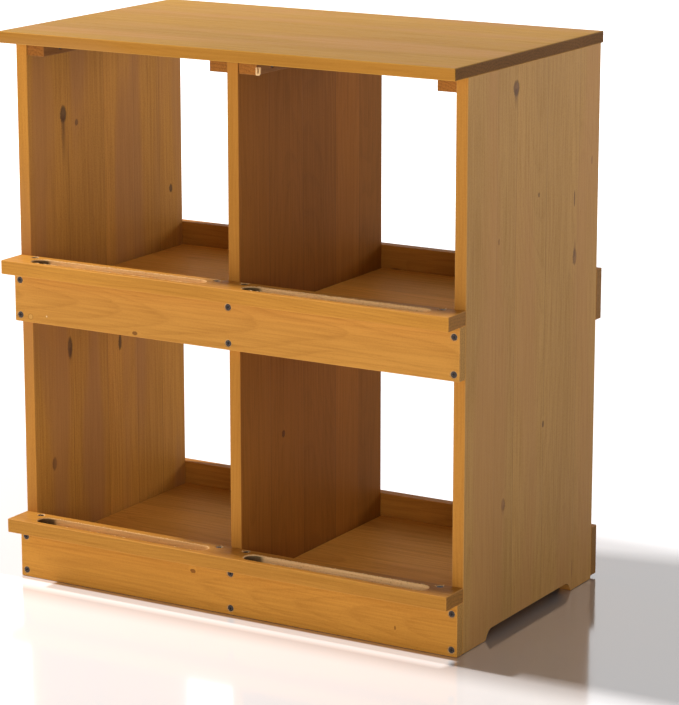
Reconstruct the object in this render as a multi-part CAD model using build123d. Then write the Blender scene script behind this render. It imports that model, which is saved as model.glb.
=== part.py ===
"""Timber nesting box with two tiers of two bays, open at the front and back. Sizes are in millimetres.

Three upright panels stand on the ground. Rails are screwed across their front and back edges in each tier,
a perch ledge with a routed trough in each bay lies on each front rail, loose floors rest on cleats, and the
roof board is held from below by battens.

+X is to the right of someone facing the bays, -Y is the front and +Z is up. The origin is on the ground, in
the middle of the overall width and depth.
"""
import os

from build123d import *

# Bays and upright panels
BAY_WIDTH = 300.0
PANEL_THICKNESS = 16.0
PANEL_DEPTH = 350.0
PANEL_HEIGHT = 702.0
TIER_PITCH = 342.0

# Foot cut-out in the bottom edge of each side panel
FOOT_LENGTH = 58.0
FOOT_CUTOUT_HEIGHT = 13.0
FOOT_SHOULDER_RUN = 9.0
FOOT_SHOULDER_RADIUS = 14.0

# Roof board
ROOF_THICKNESS = 15.0
ROOF_FRONT_OVERHANG = 35.0
ROOF_BACK_OVERHANG = 4.0
ROOF_SIDE_OVERHANG = 1.5
ROOF_EDGE_RADIUS = 1.5

# Front and back rails
RAIL_HEIGHT = 66.0
RAIL_THICKNESS = 15.0
BACK_RAIL_LIFT = 4.0

# Perch ledges and their troughs
LEDGE_DEPTH = 43.0
LEDGE_THICKNESS = 18.0
TROUGH_WIDTH = 23.0
TROUGH_DEPTH = 10.0
TROUGH_FRONT_LIP = 8.0
TROUGH_END_GAP = 20.0
TROUGH_RIM_CHAMFER = 0.8

# Floors, the cleats that they rest on, and the battens under the roof
FLOOR_THICKNESS = 10.0
FLOOR_TOP = 39.0
FLOOR_CLEARANCE = 1.0
CLEAT_WIDTH = 20.0
CLEAT_HEIGHT = 15.0
BATTEN_WIDTH = 26.0
BATTEN_HEIGHT = 19.0
STRIP_END_CLEARANCE = 1.5

BOARD_EDGE_RADIUS = 1.0
CUTTER_OVERSHOOT = 1.0

# Countersunk cross-head wood screws
SCREW_HEAD_RADIUS = 4.0
SCREW_HEAD_RIM = 0.3
SCREW_SHANK_RADIUS = 2.0
SCREW_TIP_LENGTH = 5.0
SCREW_SINK = 0.7
SCREW_HOLE_CLEARANCE = 0.15
CROSS_RECESS_LENGTH = 4.6
CROSS_RECESS_WIDTH = 1.1
CROSS_RECESS_DEPTH = 1.6

# How far screws reach into the second board, and where they stand
RAIL_SCREW_BITE = 26.0
LEDGE_SCREW_BITE = 17.0
SCREW_TIP_COVER = 5.0
RAIL_SCREW_BOTTOM_INSET = 8.5
RAIL_SCREW_TOP_INSET = 12.0
LEDGE_SCREW_INSET = 12.0
STRIP_SCREW_INSET = 38.0
STRIP_SCREW_STAGGER = 16.0
ROOF_SCREW_INSET = 90.0

PANELS = ["left_side_panel", "centre_divider", "right_side_panel"]
COLUMNS = ["left", "right"]
TIERS = ["lower", "upper"]
BAY_SIDES = ["left", "right"]

# Places that several pieces share
BODY_WIDTH = len(COLUMNS) * BAY_WIDTH + len(PANELS) * PANEL_THICKNESS
BODY_LEFT = -BODY_WIDTH / 2
BODY_RIGHT = BODY_WIDTH / 2
FRONT_REACH = max(LEDGE_DEPTH, ROOF_FRONT_OVERHANG)
BACK_REACH = max(RAIL_THICKNESS, ROOF_BACK_OVERHANG)
FRONT = -(FRONT_REACH + PANEL_DEPTH + BACK_REACH) / 2 + FRONT_REACH
BACK = FRONT + PANEL_DEPTH

boards = {}
screw_sets = {}


def panel_left(index):
    """The left face of an upright panel, counted from the left."""
    return BODY_LEFT + index * (BAY_WIDTH + PANEL_THICKNESS)


def bay_span(column):
    """The inner faces of the panels on either side of a bay."""
    left = panel_left(column) + PANEL_THICKNESS
    return left, left + BAY_WIDTH


def board(low, high, radius=BOARD_EDGE_RADIUS):
    """A planed board between two corners, with its sharp edges taken off."""
    size = Vector(*high) - Vector(*low)
    blank = Location(low) * Box(size.X, size.Y, size.Z, align=(Align.MIN, Align.MIN, Align.MIN))
    return fillet(blank.edges(), radius)


def foot_cutout(left):
    """The recess that leaves a front and a back foot on a side panel."""
    front_corner = FRONT + FOOT_LENGTH
    back_corner = BACK - FOOT_LENGTH
    below = -FOOT_CUTOUT_HEIGHT
    outline = Polyline(
        (front_corner, below),
        (front_corner, 0),
        (front_corner + FOOT_SHOULDER_RUN, FOOT_CUTOUT_HEIGHT),
        (back_corner - FOOT_SHOULDER_RUN, FOOT_CUTOUT_HEIGHT),
        (back_corner, 0),
        (back_corner, below),
        close=True,
    )
    profile = make_face(outline)
    shoulders = profile.vertices().sort_by(Axis.Y)[-2:]
    profile = fillet(shoulders, FOOT_SHOULDER_RADIUS)
    side_view = Plane(origin=(left - CUTTER_OVERSHOOT, 0, 0), x_dir=(0, 1, 0), z_dir=(1, 0, 0))
    return extrude(side_view * profile, PANEL_THICKNESS + 2 * CUTTER_OVERSHOOT)


def upright_panel(index):
    left = panel_left(index)
    panel = board((left, FRONT, 0), (left + PANEL_THICKNESS, BACK, PANEL_HEIGHT))
    if "side" in PANELS[index]:
        panel = panel - foot_cutout(left)
    return panel


def roof_panel():
    low = (BODY_LEFT - ROOF_SIDE_OVERHANG, FRONT - ROOF_FRONT_OVERHANG, PANEL_HEIGHT)
    high = (BODY_RIGHT + ROOF_SIDE_OVERHANG, BACK + ROOF_BACK_OVERHANG, PANEL_HEIGHT + ROOF_THICKNESS)
    return board(low, high, ROOF_EDGE_RADIUS)


def rail(front_face, bottom):
    low = (BODY_LEFT, front_face, bottom)
    high = (BODY_RIGHT, front_face + RAIL_THICKNESS, bottom + RAIL_HEIGHT)
    return board(low, high)


def trough(column, ledge_top):
    """The round-ended pocket routed into a ledge in front of one bay, with its rim eased."""
    left, right = bay_span(column)
    length = right - left - 2 * TROUGH_END_GAP
    middle_y = FRONT - LEDGE_DEPTH + TROUGH_FRONT_LIP + TROUGH_WIDTH / 2
    rim = TROUGH_RIM_CHAMFER
    pocket = extrude(SlotOverall(length, TROUGH_WIDTH), -TROUGH_DEPTH)
    eased_rim = extrude(SlotOverall(length + 2 * rim, TROUGH_WIDTH + 2 * rim), -2 * rim, taper=45)
    return Location(((left + right) / 2, middle_y, ledge_top)) * (pocket + eased_rim)


def perch_ledge(bottom):
    top = bottom + LEDGE_THICKNESS
    ledge = board((BODY_LEFT, FRONT - LEDGE_DEPTH, bottom), (BODY_RIGHT, FRONT, top))
    for column in range(len(COLUMNS)):
        ledge = ledge - trough(column, top)
    return ledge


def floor_panel(column, top):
    left, right = bay_span(column)
    low = (left + FLOOR_CLEARANCE, FRONT + FLOOR_CLEARANCE, top - FLOOR_THICKNESS)
    high = (right - FLOOR_CLEARANCE, BACK - FLOOR_CLEARANCE, top)
    return board(low, high)


def strip_left(column, side, width):
    """The left face of a strip, either a cleat or a batten, on one wall of a bay."""
    left, right = bay_span(column)
    return left if side == "left" else right - width


def strip(column, side, bottom, width, height):
    left = strip_left(column, side, width)
    low = (left, FRONT + STRIP_END_CLEARANCE, bottom)
    high = (left + width, BACK - STRIP_END_CLEARANCE, bottom + height)
    return board(low, high)


def wood_screw(length):
    """A countersunk screw standing on its tip, with the top of its head at the origin."""
    cone_height = SCREW_HEAD_RADIUS - SCREW_SHANK_RADIUS
    half_section = Polyline(
        (0, 0),
        (SCREW_HEAD_RADIUS, 0),
        (SCREW_HEAD_RADIUS, -SCREW_HEAD_RIM),
        (SCREW_SHANK_RADIUS, -SCREW_HEAD_RIM - cone_height),
        (SCREW_SHANK_RADIUS, SCREW_TIP_LENGTH - length),
        (0, -length),
        close=True,
    )
    screw = revolve(Plane.XZ * make_face(half_section), Axis.Z)
    for turn in (0, 90):
        slot = Box(CROSS_RECESS_LENGTH, CROSS_RECESS_WIDTH, 2 * CROSS_RECESS_DEPTH)
        screw = screw - Rot(0, 0, turn) * slot
    return screw


def screw_hole(length):
    """The countersunk hole for a wood screw, with its mouth at the origin and sinking along -Z."""
    hole_radius = SCREW_SHANK_RADIUS + SCREW_HOLE_CLEARANCE
    mouth_radius = SCREW_HEAD_RADIUS + SCREW_SINK + SCREW_HEAD_RIM + SCREW_HOLE_CLEARANCE
    depth = SCREW_SINK + length + SCREW_HOLE_CLEARANCE
    half_section = Polyline(
        (0, 0),
        (mouth_radius, 0),
        (hole_radius, hole_radius - mouth_radius),
        (hole_radius, -depth),
        (0, -depth),
        close=True,
    )
    return revolve(Plane.XZ * make_face(half_section), Axis.Z)


def drive_screws(node, seats, outward, length, board_names):
    """Sink one screw at each seat through the named boards. Each seat is on the face that outward leaves."""
    screw = wood_screw(length)
    hole = screw_hole(length)
    placed = []
    for seat in seats:
        face = Plane(origin=seat, z_dir=outward)
        placed.append(face * Pos(0, 0, -SCREW_SINK) * screw)
        for name in board_names:
            boards[name] = boards[name] - face * hole
    screw_sets[node] = screw_sets.get(node, []) + placed


# Boards
for index, name in enumerate(PANELS):
    boards[name] = upright_panel(index)
boards["roof_panel"] = roof_panel()

for tier_index, tier in enumerate(TIERS):
    rise = tier_index * TIER_PITCH
    boards[f"{tier}_front_rail"] = rail(FRONT - RAIL_THICKNESS, rise)
    boards[f"{tier}_back_rail"] = rail(BACK, rise + BACK_RAIL_LIFT)
    boards[f"{tier}_perch_ledge"] = perch_ledge(rise + RAIL_HEIGHT)
    for column, side_of_box in enumerate(COLUMNS):
        floor_top = rise + FLOOR_TOP
        cleat_bottom = floor_top - FLOOR_THICKNESS - CLEAT_HEIGHT
        boards[f"{tier}_{side_of_box}_floor"] = floor_panel(column, floor_top)
        for side in BAY_SIDES:
            cleat = strip(column, side, cleat_bottom, CLEAT_WIDTH, CLEAT_HEIGHT)
            boards[f"{tier}_{side_of_box}_bay_{side}_cleat"] = cleat

batten_bottom = PANEL_HEIGHT - BATTEN_HEIGHT
for column, side_of_box in enumerate(COLUMNS):
    for side in BAY_SIDES:
        batten = strip(column, side, batten_bottom, BATTEN_WIDTH, BATTEN_HEIGHT)
        boards[f"{side_of_box}_bay_{side}_roof_batten"] = batten

# Rails to the upright panels, two screws at each crossing
RAIL_FACES = [
    ("front", FRONT - RAIL_THICKNESS, (0, -1, 0), 0),
    ("back", BACK + RAIL_THICKNESS, (0, 1, 0), BACK_RAIL_LIFT),
]
for tier_index, tier in enumerate(TIERS):
    for place, face_y, outward, lift in RAIL_FACES:
        rail_bottom = tier_index * TIER_PITCH + lift
        heights = (rail_bottom + RAIL_SCREW_BOTTOM_INSET, rail_bottom + RAIL_HEIGHT - RAIL_SCREW_TOP_INSET)
        for index, panel_name in enumerate(PANELS):
            middle_x = panel_left(index) + PANEL_THICKNESS / 2
            drive_screws(
                f"{tier}_{place}_rail_screws",
                [(middle_x, face_y, height) for height in heights],
                outward,
                RAIL_THICKNESS + RAIL_SCREW_BITE,
                [f"{tier}_{place}_rail", panel_name],
            )

# Ledges down into the front rails, a screw near each end of each trough
for tier_index, tier in enumerate(TIERS):
    ledge_top = tier_index * TIER_PITCH + RAIL_HEIGHT + LEDGE_THICKNESS
    for column in range(len(COLUMNS)):
        left, right = bay_span(column)
        screw_xs = (left + LEDGE_SCREW_INSET, right - LEDGE_SCREW_INSET)
        drive_screws(
            f"{tier}_ledge_screws",
            [(x, FRONT - RAIL_THICKNESS / 2, ledge_top) for x in screw_xs],
            (0, 0, 1),
            LEDGE_THICKNESS + LEDGE_SCREW_BITE,
            [f"{tier}_perch_ledge", f"{tier}_front_rail"],
        )


def screw_strip_to_panel(node, strip_name, column, side, middle_z, width):
    """Two screws from the bay through a strip into the panel behind it, staggered from its neighbour's."""
    left = strip_left(column, side, width)
    if side == "left":
        face_x, outward, panel_name, shift = left + width, (1, 0, 0), PANELS[column], 0
    else:
        face_x, outward, panel_name, shift = left, (-1, 0, 0), PANELS[column + 1], STRIP_SCREW_STAGGER
    screw_ys = (FRONT + STRIP_SCREW_INSET + shift, BACK - STRIP_SCREW_INSET - shift)
    drive_screws(
        node,
        [(face_x, y, middle_z) for y in screw_ys],
        outward,
        width + PANEL_THICKNESS - SCREW_TIP_COVER,
        [strip_name, panel_name],
    )


# Cleats and battens to the panels, and the roof to its battens from below
for column, side_of_box in enumerate(COLUMNS):
    for side in BAY_SIDES:
        for tier_index, tier in enumerate(TIERS):
            middle_z = tier_index * TIER_PITCH + FLOOR_TOP - FLOOR_THICKNESS - CLEAT_HEIGHT / 2
            cleat_name = f"{tier}_{side_of_box}_bay_{side}_cleat"
            screw_strip_to_panel(f"{tier}_cleat_screws", cleat_name, column, side, middle_z, CLEAT_WIDTH)
        middle_z = PANEL_HEIGHT - BATTEN_HEIGHT / 2
        batten_name = f"{side_of_box}_bay_{side}_roof_batten"
        screw_strip_to_panel("roof_batten_screws", batten_name, column, side, middle_z, BATTEN_WIDTH)
        middle_x = strip_left(column, side, BATTEN_WIDTH) + BATTEN_WIDTH / 2
        screw_ys = (FRONT + ROOF_SCREW_INSET, BACK - ROOF_SCREW_INSET)
        drive_screws(
            "roof_panel_screws",
            [(middle_x, y, batten_bottom) for y in screw_ys],
            (0, 0, -1),
            BATTEN_HEIGHT + ROOF_THICKNESS - SCREW_TIP_COVER,
            [batten_name, "roof_panel"],
        )

os.makedirs("parts", exist_ok=True)
for name, solid in boards.items():
    export_step(solid, f"parts/{name}.step")
for name, screws in screw_sets.items():
    export_step(Compound(children=screws), f"parts/{name}.step")
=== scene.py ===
import functools
import math
import random
from collections import namedtuple

import bmesh
import bpy
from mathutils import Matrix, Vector


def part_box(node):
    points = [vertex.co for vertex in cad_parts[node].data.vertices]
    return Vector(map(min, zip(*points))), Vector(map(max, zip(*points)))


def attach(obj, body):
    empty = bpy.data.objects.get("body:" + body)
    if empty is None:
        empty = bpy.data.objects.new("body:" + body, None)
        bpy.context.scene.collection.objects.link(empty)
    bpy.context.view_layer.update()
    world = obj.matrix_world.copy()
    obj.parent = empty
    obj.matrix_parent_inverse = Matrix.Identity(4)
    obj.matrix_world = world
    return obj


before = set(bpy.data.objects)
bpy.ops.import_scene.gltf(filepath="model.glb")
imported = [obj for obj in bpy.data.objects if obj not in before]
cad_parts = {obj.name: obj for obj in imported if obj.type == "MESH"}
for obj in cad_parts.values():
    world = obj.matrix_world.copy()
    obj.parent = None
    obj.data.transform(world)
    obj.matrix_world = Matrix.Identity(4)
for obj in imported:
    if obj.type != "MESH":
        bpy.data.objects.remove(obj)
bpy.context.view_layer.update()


# Side panels and centre divider. Three uprights glued up from fir staves with the grain upright,
# sanded and wiped with a honey-brown stain. They carry everything else and stand on the floor.
X, Y, Z = 0, 1, 2


class Wire:
    """One output on its way through a material's nodes. Arithmetic on it adds Math nodes."""

    def __init__(self, tree, socket=None):
        self.tree = tree
        self.socket = socket

    def node(self, kind, settings=None, sockets=None, output=0):
        """A new node: its settings go in first, then the values or links of its sockets."""
        made = self.tree.nodes.new("ShaderNode" + kind)
        for name, value in (settings or {}).items():
            setattr(made, name, value)
        for name, value in (sockets or {}).items():
            if isinstance(value, Wire):
                self.tree.links.new(value.socket, made.inputs[name])
            else:
                made.inputs[name].default_value = value
        return Wire(self.tree, made.outputs[output])

    def other(self, output):
        """Another output of the same node."""
        return Wire(self.tree, self.socket.node.outputs[output])

    def sum(self, operation, first, second):
        return self.node("Math", {"operation": operation}, {0: first, 1: second})

    def __add__(self, other):
        return self.sum("ADD", self, other)

    def __radd__(self, other):
        return self.sum("ADD", other, self)

    def __sub__(self, other):
        return self.sum("SUBTRACT", self, other)

    def __rsub__(self, other):
        return self.sum("SUBTRACT", other, self)

    def __mul__(self, other):
        return self.sum("MULTIPLY", self, other)

    def __pow__(self, other):
        return self.sum("POWER", self, other)

    def __abs__(self):
        return self.sum("ABSOLUTE", self, 0.0)

    def least(self, other):
        return self.sum("MINIMUM", self, other)

    def most(self, other):
        return self.sum("MAXIMUM", self, other)

    def beyond(self, limit):
        return self.sum("GREATER_THAN", self, limit)

    def fraction(self):
        return self.sum("FRACT", self, 0.0)

    def fade(self, start, end):
        """0 up to start and 1 from end on, with a soft step between; start may be the larger."""
        settings = {"interpolation_type": "SMOOTHSTEP"}
        return self.node("MapRange", settings, {"Value": self, "From Min": start, "From Max": end})

    def between(self, first, second):
        """The first colour where this mask is 0, turning into the second where it is 1."""
        return self.node("Mix", {"data_type": "RGBA"}, {0: self, 6: first, 7: second}, 2)

    def into(self, colour, mask):
        """This colour, turning into the other where the mask is 1."""
        return self.node("Mix", {"data_type": "RGBA"}, {0: mask, 6: self, 7: colour}, 2)

    def scaled(self, factor):
        """This colour, made lighter or darker."""
        return self.node("VectorMath", {"operation": "SCALE"}, {0: self, "Scale": factor})

    def length(self):
        return self.node("VectorMath", {"operation": "LENGTH"}, {0: self}, "Value")

    def split(self):
        """The three parts of a vector or colour."""
        first = self.node("SeparateXYZ", {}, {0: self})
        return first, first.other(1), first.other(2)

    def noise(self, stretch, offset, scale, detail, roughness=0.5, output="Fac"):
        """Noise of this place, stretched along the axes and moved to a patch of its own."""
        sockets = {0: self, 1: stretch, 2: offset}
        moved = self.node("VectorMath", {"operation": "MULTIPLY_ADD"}, sockets)
        sockets = {"Vector": moved, "Scale": scale, "Detail": detail, "Roughness": roughness}
        return self.node("TexNoise", {}, sockets, output)


def new_material(name):
    """An empty material, and the wire that its first nodes come from."""
    made = bpy.data.materials.new(name)
    made.use_nodes = True
    made.node_tree.nodes.clear()
    return made, Wire(made.node_tree)


def surface(wire, **sockets):
    """Ends a material in its shader: the sockets' values or links, with _ for the space in a name."""
    named = {name.replace("_", " "): value for name, value in sockets.items()}
    shader = wire.node("BsdfPrincipled", {}, named)
    end = wire.tree.nodes.new("ShaderNodeOutputMaterial")
    wire.tree.links.new(shader.socket, end.inputs["Surface"])


def tint(colour, part=1):
    """A colour with its alpha, as a colour socket wants it, or a darker or lighter part of it."""
    return (*[channel * part for channel in colour], 1)


class Board:
    """One board while its wood is made: its box, its axes, and the noises that its grain comes from."""

    def __init__(self, node, grain, thick, seed):
        self.material, self.wire = new_material(node + "_stained_wood")
        self.low, self.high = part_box(node)
        self.grain, self.thick, self.across = grain, thick, 3 - grain - thick
        self.dice = random.Random(seed)
        self.place = self.wire.node("TexCoord", {}, {}, "Object")
        self.xyz = self.place.split()
        self.along, self.side, self.deep = self.xyz[grain], self.xyz[self.across], self.xyz[thick]
        # slow drift of tone and of the grain's line, then streaks, then pores and sanding fuzz
        self.drift = self.noise(stretch=0.3, scale=6.0, detail=2.0, roughness=0.55, output="Color").split()
        self.streak = self.noise(stretch=0.025, scale=330.0, detail=4.0, roughness=0.62)
        self.pores = self.noise(stretch=0.12, scale=800.0, detail=2.0, roughness=0.6)
        self.fuzz = self.noise(stretch=1.0, scale=520.0, detail=2.0, roughness=0.75)

    def noise(self, stretch, scale, detail, roughness, output="Fac"):
        """Noise drawn out along the grain: the smaller the stretch, the longer its streaks."""
        ratios = [stretch if axis == self.grain else 1.0 for axis in (X, Y, Z)]
        patch = [self.dice.uniform(-9, 9) for _ in range(3)]
        return self.place.noise(ratios, patch, scale, detail, roughness, output)

    def spread(self, width):
        """A ragged edge: a length that wanders by up to half the width either way."""
        return (self.fuzz - 0.5) * width

    def reach(self, one, two, first, second):
        """Distance from a line that runs through the board along its third axis."""
        du, dv = one - first, two - second
        return (du * du + dv * dv) ** 0.5

    def normal(self):
        return self.wire.node("NewGeometry", {}, {}, "Normal").split()


def glued_staves(board, joints):
    """The staves between the glue joints: the middle of the one a point is in, the joints' mask,
    and three numbers of its own for its tone, its lean and how deep it was cut from the tree."""
    lines = [board.low[board.across], *joints, board.high[board.across]]
    middles = [(a + b) / 2 + board.dice.uniform(-0.3, 0.3) * (b - a) for a, b in zip(lines, lines[1:])]
    number = board.dice.uniform(3, 4)
    middle = middles[0]
    gaps = []
    for joint, before, after in zip(joints, middles, middles[1:]):
        passed = board.side.beyond(joint)
        number = number + passed
        middle = middle + passed * (after - before)
        gaps.append(abs(board.side - joint))
    seam = functools.reduce(Wire.least, gaps).fade(0.0008, 0.0002) if gaps else 0.0
    own = board.wire.node("TexWhiteNoise", {"noise_dimensions": "1D"}, {"W": number}, "Color")
    return middle, seam, own.split()


def growth_rings(board, middle, lean, sunk):
    """How many rings out from the pith a point lies. The pith runs below the board, leaning a little."""
    ring_width = 0.0042
    pith_depth = 0.022
    off = board.side - middle + (board.drift[0] - 0.5) * 0.07
    below = board.deep - board.low[board.thick] + pith_depth + sunk * 0.05 + (board.drift[1] - 0.5) * 0.05
    below = below + (board.along - board.low[board.grain]) * (lean - 0.5) * 0.09
    return (off * off + below * below) ** 0.5 * (1 / ring_width) + (board.streak - 0.5) * 0.7


# A knot's middle across and along the board, its radius, how many times longer than wide it is, and
# how far it weeps: the length of the dark tail below it, or above it where the length is negative.
Knot = namedtuple("Knot", "side along radius long weep", defaults=(0,))
# A round filler plug's middle and radius, and the filler's colour.
Plug = namedtuple("Plug", "side along radius filler")
# A routed hollow's ends, its front and back, and how bare of stain it is.
Trough = namedtuple("Trough", "left right front back bareness")


def knotted(board, knots, phase):
    """Turns the rings aside round the knots, and gives the masks of hearts, rims, halos and tails."""
    hearts, rims, halos, tails = [], [], [], []
    for knot in knots:
        # how far a point is from the knot, counted in the knot's radii
        du = (board.side - knot.side) * (1 / knot.radius) + (board.fuzz - 0.5) * 0.9
        dv = (board.along - knot.along) * (1 / (knot.radius * knot.long)) + (board.streak - 0.5) * 0.8
        far = (du * du + dv * dv) ** 0.5
        swirl = far.fade(4.5, 0.5)
        phase = phase + swirl * (knot.radius * 330)
        hearts.append(far.fade(1.15, 0.7))
        rims.append(far.fade(1.45, 1.05) * far.fade(0.55, 1.0))
        halos.append(swirl)
        if knot.weep:
            down = (knot.along - board.along) * (1 / knot.weep)
            tails.append(abs(du).fade(1.1, 0.1) * down.fade(1.0, 0.05) * down.fade(-0.02, 0.08))
    return phase, [functools.reduce(Wire.most, masks) if masks else None
                   for masks in (hearts, rims, halos, tails)]


def stained_board(node, grain, thick, light, dark, end, seed, joints=(), edge=None, figure=0.36,
                  knots=(), screws=(), troughs=(), plugs=(), blush=None,
                  heart_tone=(0.50, 0.40, 0.50), nap=0.5, gloss=0.5, shine=0.08):
    """Stained softwood for one board: growth rings about a pith that lies outside the board, fibre
    streaks and pores, knots, glue joints, thirsty end grain, arrises worn lighter with a painted
    highlight, torn screw rims, and painted shade at one end of each routed hollow."""
    board = Board(node, grain, thick, seed)
    drift, fuzz, xyz, low, high = board.drift, board.fuzz, board.xyz, board.low, board.high
    middle, seam, (tone, lean, sunk) = glued_staves(board, joints)
    phase = growth_rings(board, middle, lean, sunk)
    phase, (heart, rim, halo, tail) = knotted(board, knots, phase)

    # dark late wood at the end of each ring's growth, then the fibres and the open pores
    grown = phase.fraction()
    late = grown * grown * grown * grown.fade(1.0, 0.9)
    fibre = board.streak.fade(0.33, 0.68)
    pore = board.pores.fade(0.60, 0.74)
    grainy = late * figure + fibre * 0.36 + pore * 0.18 + board.spread(nap)
    base = grainy.between(tint(light), tint(dark))
    if edge:
        narrow = abs(board.normal()[board.across]).fade(0.4, 0.8)
        base = base.into(grainy.between(tint(edge[0]), tint(edge[1])), narrow)
    base = base.into(tint(dark), (drift[2] - 0.42) * 0.9)
    base = base.scaled(0.84 + tone * 0.2 + drift[0] * 0.2)
    base = base.into(tint(dark, 0.5), seam * 0.4)
    height = 0.5 - late * 0.25 - pore * 0.4 - seam * 0.6 + fibre * 0.12 + fuzz * 0.25
    rough = gloss + fibre * 0.08 + pore * 0.12

    # each knot has a ragged heart in a paler halo and a darker rim, and may weep a dark tail
    if heart:
        wood = [channel * part for channel, part in zip(dark, heart_tone)]
        base = base.into(tint(light, 1.1), halo * (1 - heart) * 0.22)
        base = base.into(tint(wood), heart * 0.8)
        base = base.into(tint(wood, 0.45), rim * 0.6)
        height = height - rim * 0.6
        rough = rough - heart * 0.08
    if tail:
        base = base.into((dark[0] * 0.30, dark[1] * 0.24, dark[2] * 0.4, 1), tail * 0.7)

    # paler bands where the stain was wiped off harder, and round filler plugs with a thin outline
    if blush:
        bands = board.noise(stretch=0.12, scale=15.0, detail=1.5, roughness=0.4)
        base = base.into(tint(blush), bands.fade(0.47, 0.60) * 0.55)
    for plug in plugs:
        far = board.reach(board.side, board.along, plug.side, plug.along) + board.spread(0.0012)
        base = base.into(tint(dark, 0.8), far.fade(plug.radius * 1.3, plug.radius) * 0.7)
        base = base.into(tint(plug.filler), far.fade(plug.radius * 1.02, plug.radius * 0.85) * 0.8)

    # end grain drinks more stain and shows the rings as arcs
    sawn = abs(board.normal()[grain]).fade(0.55, 0.9)
    arcs = late * 0.55 + fuzz.fade(0.42, 0.62) * 0.4
    base = base.into(arcs.between(tint(end), tint(end, 0.5)).scaled(0.75 + drift[1] * 0.5), sawn)
    rough = rough + sawn * 0.12
    height = height - sawn * fuzz * 0.5

    # sanded arrises are worn lighter and carry a painted highlight: the second nearest of the board's
    # faces is a hair away
    gaps = [(xyz[axis] - low[axis]).least(high[axis] - xyz[axis]) for axis in (X, Y, Z)]
    corner = gaps[0].least(gaps[1]).most(gaps[0].most(gaps[1]).least(gaps[2]))
    rubbed_and_highlit = corner.fade(0.0018, 0.0003) * (0.45 + fibre * 0.55)
    base = base.into([min(1, channel * 1.25 + 0.02) for channel in light] + [1], rubbed_and_highlit * 0.4)

    # the bite of each screw head tears a ring of bare wood
    for axis, bare, heads in screws:
        one, two = [xyz[other] for other in (X, Y, Z) if other != axis]
        for first, second in heads:
            far = board.reach(one, two, first, second) + board.spread(0.0016)
            base = base.into((0.55, 0.36, 0.18, 1), far.fade(0.0054, 0.0046) * bare)

    # routed hollows that the stain hardly reached, with torn lips, and their left end darkened with
    # painted shade
    for trough in troughs:
        half = (trough.back - trough.front) / 2
        straight = (trough.right - trough.left) / 2 - half
        dx = (abs(xyz[X] - (trough.left + trough.right) / 2) - straight).most(0.0)
        dy = xyz[Y] - (trough.front + trough.back) / 2
        outside = (dx * dx + dy * dy) ** 0.5 - half + board.spread(0.003)
        above = board.deep.fade(low[thick] + 0.004, low[thick] + 0.006)
        bare = outside.fade(0.0011, 0.0002) * above * trough.bareness
        base = base.into(grainy.between(tint(BARE), tint(BARE_DARK)), bare)
        walls = board.deep.fade(high[thick] - 0.0008, high[thick] - 0.0024) * outside.fade(0.004, 0.003)
        # painted shade: the inside of each hollow is darkened near its left end, where shade falls
        left_end_painted_shade = walls * above * (xyz[X] - trough.left).fade(0.022, 0.014)
        base = base.into((0.040, 0.018, 0.007, 1), left_end_painted_shade * 0.85)
        rough = rough + bare * 0.25
        height = height + bare * fuzz * 1.2

    bump = {"Strength": 0.35, "Distance": 0.0005, "Height": height}
    relief = board.wire.node("Bump", {}, bump, "Normal")
    surface(board.wire, Base_Color=base, Roughness=rough, Normal=relief, Specular_IOR_Level=shine)
    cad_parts[node].material_slots[0].material = board.material


BARE, BARE_DARK = (0.90, 0.62, 0.31), (0.64, 0.37, 0.15)
HONEY, HONEY_DARK, HONEY_END = (0.57, 0.255, 0.038), (0.36, 0.14, 0.017), (0.27, 0.125, 0.030)
SAWN = ((0.51, 0.218, 0.034), (0.37, 0.142, 0.019))
SAWN_PAINTED_SHADE = ((0.47, 0.200, 0.034), (0.34, 0.132, 0.018))
stained_board("left_side_panel", Z, X, (0.475, 0.220, 0.037), (0.26, 0.103, 0.016), HONEY_END, 11,
              joints=(-0.075, 0.005, 0.074, 0.134), edge=SAWN, figure=0.18, nap=1.1,
              blush=(0.36, 0.160, 0.055), heart_tone=(0.26, 0.30, 0.60), shine=0.05, knots=[
                  Knot(-0.085, 0.598, 0.0056, 1.6, weep=0.085), Knot(-0.056, 0.5835, 0.003, 1.2),
                  Knot(0.161, 0.463, 0.003, 1.6), Knot(-0.0806, 0.289, 0.0042, 2.8, weep=0.03),
                  Knot(0.034, 0.273, 0.0030, 3.0), Knot(-0.12, 0.14, 0.004, 1.8)])
# painted shade: the divider and its edges get much darker, redder tones than the side panels, for the
# shade it stands in between the bays
stained_board("centre_divider", Z, X, (0.28, 0.101, 0.013), (0.17, 0.058, 0.007), HONEY_END, 12,
              joints=(-0.09, -0.01, 0.07, 0.13), edge=SAWN_PAINTED_SHADE, figure=0.25, shine=0.03,
              knots=[Knot(0.09, 0.36, 0.004, 1.3), Knot(-0.06, 0.21, 0.003, 1.3)])
stained_board("right_side_panel", Z, X, (0.445, 0.240, 0.068), (0.26, 0.122, 0.028), HONEY_END, 13,
              joints=(-0.086, -0.037, 0.044, 0.133), edge=SAWN, figure=0.22, nap=0.8,
              blush=(0.40, 0.190, 0.060), knots=[
                  Knot(0.133, 0.030, 0.0007, 15.0), Knot(-0.040, 0.6745, 0.0062, 1.25, weep=0.03),
                  Knot(0.1244, 0.440, 0.0042, 2.0, weep=-0.03), Knot(0.1214, 0.515, 0.0014, 6.0),
                  Knot(-0.080, 0.4945, 0.002, 1.6), Knot(0.169, 0.5565, 0.0018, 2.4),
                  Knot(-0.061, 0.163, 0.0042, 1.5, weep=0.02), Knot(0.044, 0.2416, 0.0022, 1.6),
                  Knot(0.0235, 0.535, 0.0016, 1.6)])


# Back rails. Plain boards across the back, one for each tier, screwed to the back edges of the three
# uprights with two black screws into each.
UPRIGHTS = ("left_side_panel", "centre_divider", "right_side_panel")
SCREW_ABOVE_EDGE, SCREW_BELOW_EDGE = 0.0085, 0.012


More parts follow.
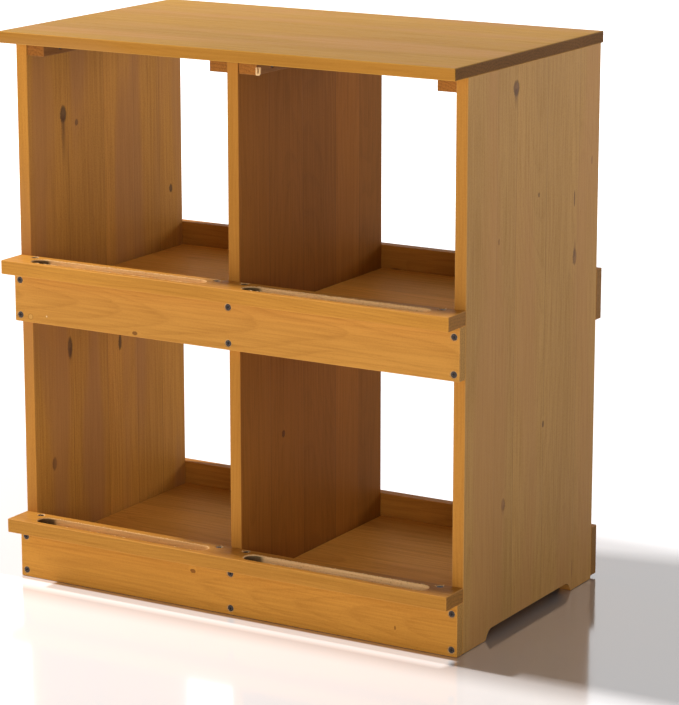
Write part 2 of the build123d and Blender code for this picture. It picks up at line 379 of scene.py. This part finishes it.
def rail_screws(node):
    """The torn rims round a rail's screws: two screws on the middle of each upright's edge."""
    low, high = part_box(node)
    middles = [(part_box(upright)[0].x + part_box(upright)[1].x) / 2 for upright in UPRIGHTS]
    heights = (low.z + SCREW_ABOVE_EDGE, high.z - SCREW_BELOW_EDGE)
    return [(Y, 0.5, [(x, z) for x in middles for z in heights])]


BACK_KNOTS = {"lower": -0.17, "upper": 0.03}
for seed, tier in enumerate(("lower", "upper"), 21):
    node = tier + "_back_rail"
    knot = Knot(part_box(node)[0].z + 0.03, BACK_KNOTS[tier], 0.005, 1.6)
    stained_board(node, X, Y, (0.42, 0.17, 0.024), (0.25, 0.09, 0.011), HONEY_END, seed,
                  screws=rail_screws(node), knots=[knot])


# Front rails. A board across the front of each tier, screwed to the uprights' front edges with two
# black screws into each. The upper one has two spots of filler near its left end.
# painted shade: the upper rail gets slightly darker tones than the lower one, standing in for less light
# on it
RAIL_TONES = {"lower": (HONEY, HONEY_DARK), "upper": ((0.53, 0.243, 0.044), (0.335, 0.134, 0.019))}
RAIL_KNOTS = {"lower": [Knot(0.0486, -0.0555, 0.0022, 1.5), Knot(0.0233, 0.2381, 0.0022, 0.4)],
              "upper": [Knot(0.347, -0.139, 0.0020, 1.6)]}
RAIL_PLUGS = {"lower": [], "upper": [Plug(0.3498, -0.300, 0.0034, (0.60, 0.31, 0.07)),
                                     Plug(0.3528, -0.2746, 0.0011, (0.85, 0.60, 0.30))]}
for seed, tier in enumerate(("lower", "upper"), 31):
    node = tier + "_front_rail"
    stained_board(node, X, Y, *RAIL_TONES[tier], (0.46, 0.235, 0.06), seed,
                  screws=rail_screws(node), knots=RAIL_KNOTS[tier], plugs=RAIL_PLUGS[tier])


# Floors. Thin glued-up boards with their grain from side to side, one in each bay. They lie loose on
# the cleats, with a little play all round.
FLOOR_TONES = {"lower": ((0.60, 0.292, 0.053), (0.36, 0.152, 0.022)),
               "upper": ((0.77, 0.375, 0.068), (0.48, 0.205, 0.029))}
FLOORS = [(tier, tier + side) for tier in ("lower", "upper") for side in ("_left_floor", "_right_floor")]
for seed, (tier, node) in enumerate(FLOORS, 41):
    stained_board(node, X, Z, *FLOOR_TONES[tier], HONEY_END, seed, joints=(-0.05, 0.07), shine=0.05)


# Cleats. Strips screwed to the uprights from front to back, one under each side edge of each floor,
# in the same stained wood as the rails.
STRIPS = ("left_bay_left", "left_bay_right", "right_bay_left", "right_bay_right")
for tier in ("lower", "upper"):
    for seed, spot in enumerate(STRIPS, 51):
        stained_board(f"{tier}_{spot}_cleat", Y, Z, HONEY, HONEY_DARK, HONEY_END, seed)


# Perch ledges. A batten on top of each front rail that the hens step on, with a routed hollow in
# front of each bay, and one black screw at each end of a hollow. Router and screws tore the wood.
TROUGH_FRONT, TROUGH_BACK = -0.196, -0.173
TROUGH_LENGTH = 0.260
TROUGH_LEFT_ENDS = (-0.288, 0.028)
BARENESS = {"lower": (0.5, 1), "upper": (0.8, 1)}
LEDGE_SCREWS = [(x, -0.1685) for x in (-0.296, -0.020, 0.020, 0.296)]
LIP_WIDTH = 0.0006
RAGGED_LIP, CLEAN_LIP, ROUND_SCREW = 75, 9, 4
SCREW_RIM = 0.0047

bare_wood, wire = new_material("bare_torn_wood")
place = wire.node("TexCoord", {}, {}, "Object")
thread = place.noise([0.1, 1, 1], [4, 2, 7], 1500.0, 2.0, 0.6)
base = thread.between(tint(BARE), (0.62, 0.38, 0.17, 1))
surface(wire, Base_Color=base, Roughness=0.7 + thread * 0.1, Specular_IOR_Level=0.15)


def splinter(mesh, root, length, width, rise, turn):
    """A closed sliver of torn wood, lying where its root is and lifting towards its tip."""
    bite = 0.0003
    ahead = Vector((math.cos(turn), math.sin(turn), 0))
    beside = Vector((-ahead.y, ahead.x, 0))
    foot = Vector(root) - Vector((0, 0, bite))
    corners = [foot + beside * width / 2, foot - beside * width / 2,
               foot + Vector((0, 0, rise)), foot + ahead * length + Vector((0, 0, rise * 0.7 + bite))]
    one, two, three, tip = [mesh.verts.new(corner) for corner in corners]
    for face in ((one, two, three), (one, tip, two), (two, tip, three), (three, tip, one)):
        mesh.faces.new(face)


def torn_piece(name, shape):
    """Turns a finished bmesh into a piece of bare torn wood."""
    bmesh.ops.recalc_face_normals(shape, faces=shape.faces)
    mesh = bpy.data.meshes.new(name)
    shape.to_mesh(mesh)
    mesh.materials.append(bare_wood)
    piece = bpy.data.objects.new(name, mesh)
    bpy.context.scene.collection.objects.link(piece)
    return piece


torn = bmesh.new()
dice = random.Random(7)
for seed, tier in enumerate(("lower", "upper"), 61):
    node = tier + "_perch_ledge"
    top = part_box(node)[1].z
    troughs = [Trough(left, left + TROUGH_LENGTH, TROUGH_FRONT, TROUGH_BACK, bareness)
               for left, bareness in zip(TROUGH_LEFT_ENDS, BARENESS[tier])]
    stained_board(node, X, Z, (0.50, 0.222, 0.033), (0.32, 0.124, 0.015), (0.30, 0.13, 0.025), seed,
                  screws=[(Z, 0.9, LEDGE_SCREWS)], troughs=troughs)
    for trough in troughs:
        splinters = RAGGED_LIP if tier == "upper" and trough.left < 0 else CLEAN_LIP
        for lip in (trough.front - LIP_WIDTH, trough.back + LIP_WIDTH):
            for _ in range(splinters):
                root = (dice.uniform(trough.left + 0.012, trough.right - 0.012), lip, top)
                splinter(torn, root, dice.uniform(0.0015, 0.0045), dice.uniform(0.0006, 0.0011),
                         dice.uniform(0.0004, 0.0009), dice.choice((0, math.pi)) + dice.gauss(0, 0.2))
    for x, y in LEDGE_SCREWS:
        for _ in range(ROUND_SCREW):
            turn = dice.uniform(0, 2 * math.pi)
            root = (x + SCREW_RIM * math.cos(turn), y + SCREW_RIM * math.sin(turn), top)
            splinter(torn, root, dice.uniform(0.0012, 0.0028), 0.0012, dice.uniform(0.0006, 0.0012), turn)

ledge_splinters = torn_piece("ledge_splinters", torn)
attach(ledge_splinters, "root")


# Roof battens. Strips screwed to the tops of the uprights inside each bay, that the roof's screws are
# driven up through; their dark tones are painted shade for the shade under the roof.
for seed, spot in enumerate(STRIPS, 71):
    # painted shade: dark side tones for the battens' place in the shade under the roof
    stained_board(spot + "_roof_batten", Y, Z, (0.24, 0.10, 0.020), (0.14, 0.052, 0.010),
                  (0.34, 0.122, 0.020), seed)

# the saw broke out the lower corner of the batten beside the divider, and left two bare prongs
PRONGS = [(0.0004, 0.0), (0.0052, 0.0002), (0.0064, 0.0030), (0.0066, 0.0098), (0.0055, 0.0101),
          (0.0046, 0.0028), (0.0024, 0.0024), (0.0013, 0.0100), (0.0002, 0.0094), (0.0, 0.0028)]
low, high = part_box("right_bay_left_roof_batten")
corner = Vector((high.x - 0.0012, low.y, low.z))
chip = bmesh.new()
front, back = [[chip.verts.new(corner + Vector((x, depth + z * 0.05, z))) for x, z in PRONGS]
               for depth in (-0.0012, 0.0008)]
for i in range(len(PRONGS)):
    j = (i + 1) % len(PRONGS)
    chip.faces.new((front[i], front[j], back[j], back[i]))
caps = [chip.faces.new(front[::-1]), chip.faces.new(back)]
bmesh.ops.triangulate(chip, faces=caps)
batten_breakout = torn_piece("batten_breakout", chip)
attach(batten_breakout, "root")


# Roof. A glued-up panel with its grain from side to side, sanded smoother than the rest, that lies
# on the three uprights and reaches out over the front.
ROOF_EDGE = ((0.47, 0.205, 0.032), (0.35, 0.14, 0.019))
stained_board("roof_panel", X, Z, (0.428, 0.219, 0.031), (0.305, 0.138, 0.016), (0.145, 0.060, 0.012),
              81, joints=(-0.12, -0.03, 0.05, 0.13), edge=ROOF_EDGE, figure=0.25,
              blush=(0.43, 0.205, 0.062), gloss=0.42, shine=0.03)


# Screws. Cross-head wood screws of steel with countersunk heads, phosphated black, and worn through
# to grey in small spots. They hold the rails, ledges, cleats, battens and roof.
black, wire = new_material("black_phosphate_screw")
place = wire.node("TexCoord", {}, {}, "Object")
mottle = place.noise([1, 1, 1], [3, 1, 2], 900.0, 3.0, 0.6)
worn = mottle.fade(0.58, 0.72)
base = worn.between((0.050, 0.038, 0.032, 1), (0.24, 0.20, 0.17, 1))
grit = wire.node("Bump", {}, {"Strength": 0.2, "Distance": 0.0002, "Height": mottle}, "Normal")
surface(wire, Base_Color=base, Roughness=0.42 - worn * 0.15, Metallic=0.75, Normal=grit)
for node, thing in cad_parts.items():
    if node.endswith("_screws"):
        thing.material_slots[0].material = black


# The stage. A pale, glossy floor in a white surround. The floor glows a little, except under and
# beside the box, so that it turns to white away from the box and keeps a deep shadow next to it.
FLOOR_REACH = 14.0
FLOOR_TOP = -0.0003
floor_mesh = bpy.data.meshes.new("floor")
corners = [(x * FLOOR_REACH, y * FLOOR_REACH, FLOOR_TOP) for x, y in ((-1, -1), (1, -1), (1, 1), (-1, 1))]
floor_mesh.from_pydata(corners, [], [(0, 1, 2, 3)])
floor = bpy.data.objects.new("floor", floor_mesh)
bpy.context.scene.collection.objects.link(floor)
pale, wire = new_material("pale_floor")
place = wire.node("TexCoord", {}, {}, "Object")
cloud = place.noise([1, 1, 1], [0, 0, 0], 1.2, 2.0, 0.5)
base = cloud.between((0.81, 0.785, 0.79, 1), (0.85, 0.825, 0.83, 1))
across, depth, _ = place.split()
far_off = place.length().fade(1.3, 3.0)
front_and_back = abs(depth - 0.07).fade(0.26, 0.34)
# painted light: a stronger glow in a strip just in front of the box's foot washes out the ledge's shadow
# and the rail's reflection there
front_foot = depth.fade(-0.183, -0.188) * depth.fade(-0.235, -0.198) * across.fade(0.335, 0.320)
glow = far_off.most(front_and_back * 0.40).most(front_foot * 0.52)
surface(wire, Base_Color=base, Roughness=0.09 + cloud * 0.03, IOR=2.15, Metallic=0.25,
        Emission_Color=glow, Emission_Strength=1.0)
floor_mesh.materials.append(pale)

scene = bpy.context.scene
scene.view_settings.view_transform = "Standard"
world = bpy.data.worlds.new("white_surround")
world.use_nodes = True
world.node_tree.nodes.clear()
wire = Wire(world.node_tree)
ray = wire.node("LightPath", {}, {}, "Is Camera Ray")
power = 0.15 + ray.most(ray.other("Is Glossy Ray")) * 0.9
light = wire.node("Background", {}, {"Color": (1, 1, 1, 1), "Strength": power})
world_end = world.node_tree.nodes.new("ShaderNodeOutputWorld")
world.node_tree.links.new(light.socket, world_end.inputs["Surface"])
scene.world = world

# a lamp that has this as its receiver collection lights everything but the floor
all_but_floor = bpy.data.collections.new("all_but_floor")
all_but_floor.objects.link(floor)
all_but_floor.collection_objects[0].light_linking.link_state = "EXCLUDE"


def softbox(name, place, aim, size, watts, colour=(1, 1, 1), spares_floor=True):
    """A square soft light at a place, turned towards a point; it may leave the floor unlit."""
    lamp = bpy.data.lights.new(name, "AREA")
    lamp.size = size
    lamp.energy = watts
    lamp.color = colour
    thing = bpy.data.objects.new(name, lamp)
    thing.location = place
    thing.rotation_euler = (Vector(aim) - Vector(place)).to_track_quat("-Z", "Y").to_euler()
    scene.collection.objects.link(thing)
    if spares_floor:
        thing.light_linking.receiver_collection = all_but_floor


softbox("left_key", (-2.8, -0.27, 3.0), (0, 0, 0.2), size=0.2, watts=200, colour=(1.0, 0.985, 0.97),
        spares_floor=False)
softbox("front_softbox", (1.9, -3.4, 0.85), (0, 0, 0.38), size=1.0, watts=39, colour=(1.0, 0.98, 0.95))
softbox("front_fill", (-1.5, -3.3, 1.3), (0, 0, 0.3), size=1.0, watts=22)
softbox("back_fill", (1.3, 3.4, 1.3), (0, 0, 0.4), size=1.2, watts=52, colour=(1.0, 0.97, 0.92))

# the camera stands in front of the box and to its right, higher than its roof, with a long lens
LENS = 156.1
CAMERA_PLACE = (1.9864, -3.2560, 1.2149)
LOOKS_DOWN, TURNED_LEFT = 13.449, 30.673
lens = bpy.data.cameras.new("camera")
lens.lens = LENS
camera = bpy.data.objects.new("camera", lens)
camera.location = CAMERA_PLACE
camera.rotation_euler = (math.radians(90 - LOOKS_DOWN), 0, math.radians(TURNED_LEFT))
scene.collection.objects.link(camera)
scene.camera = camera
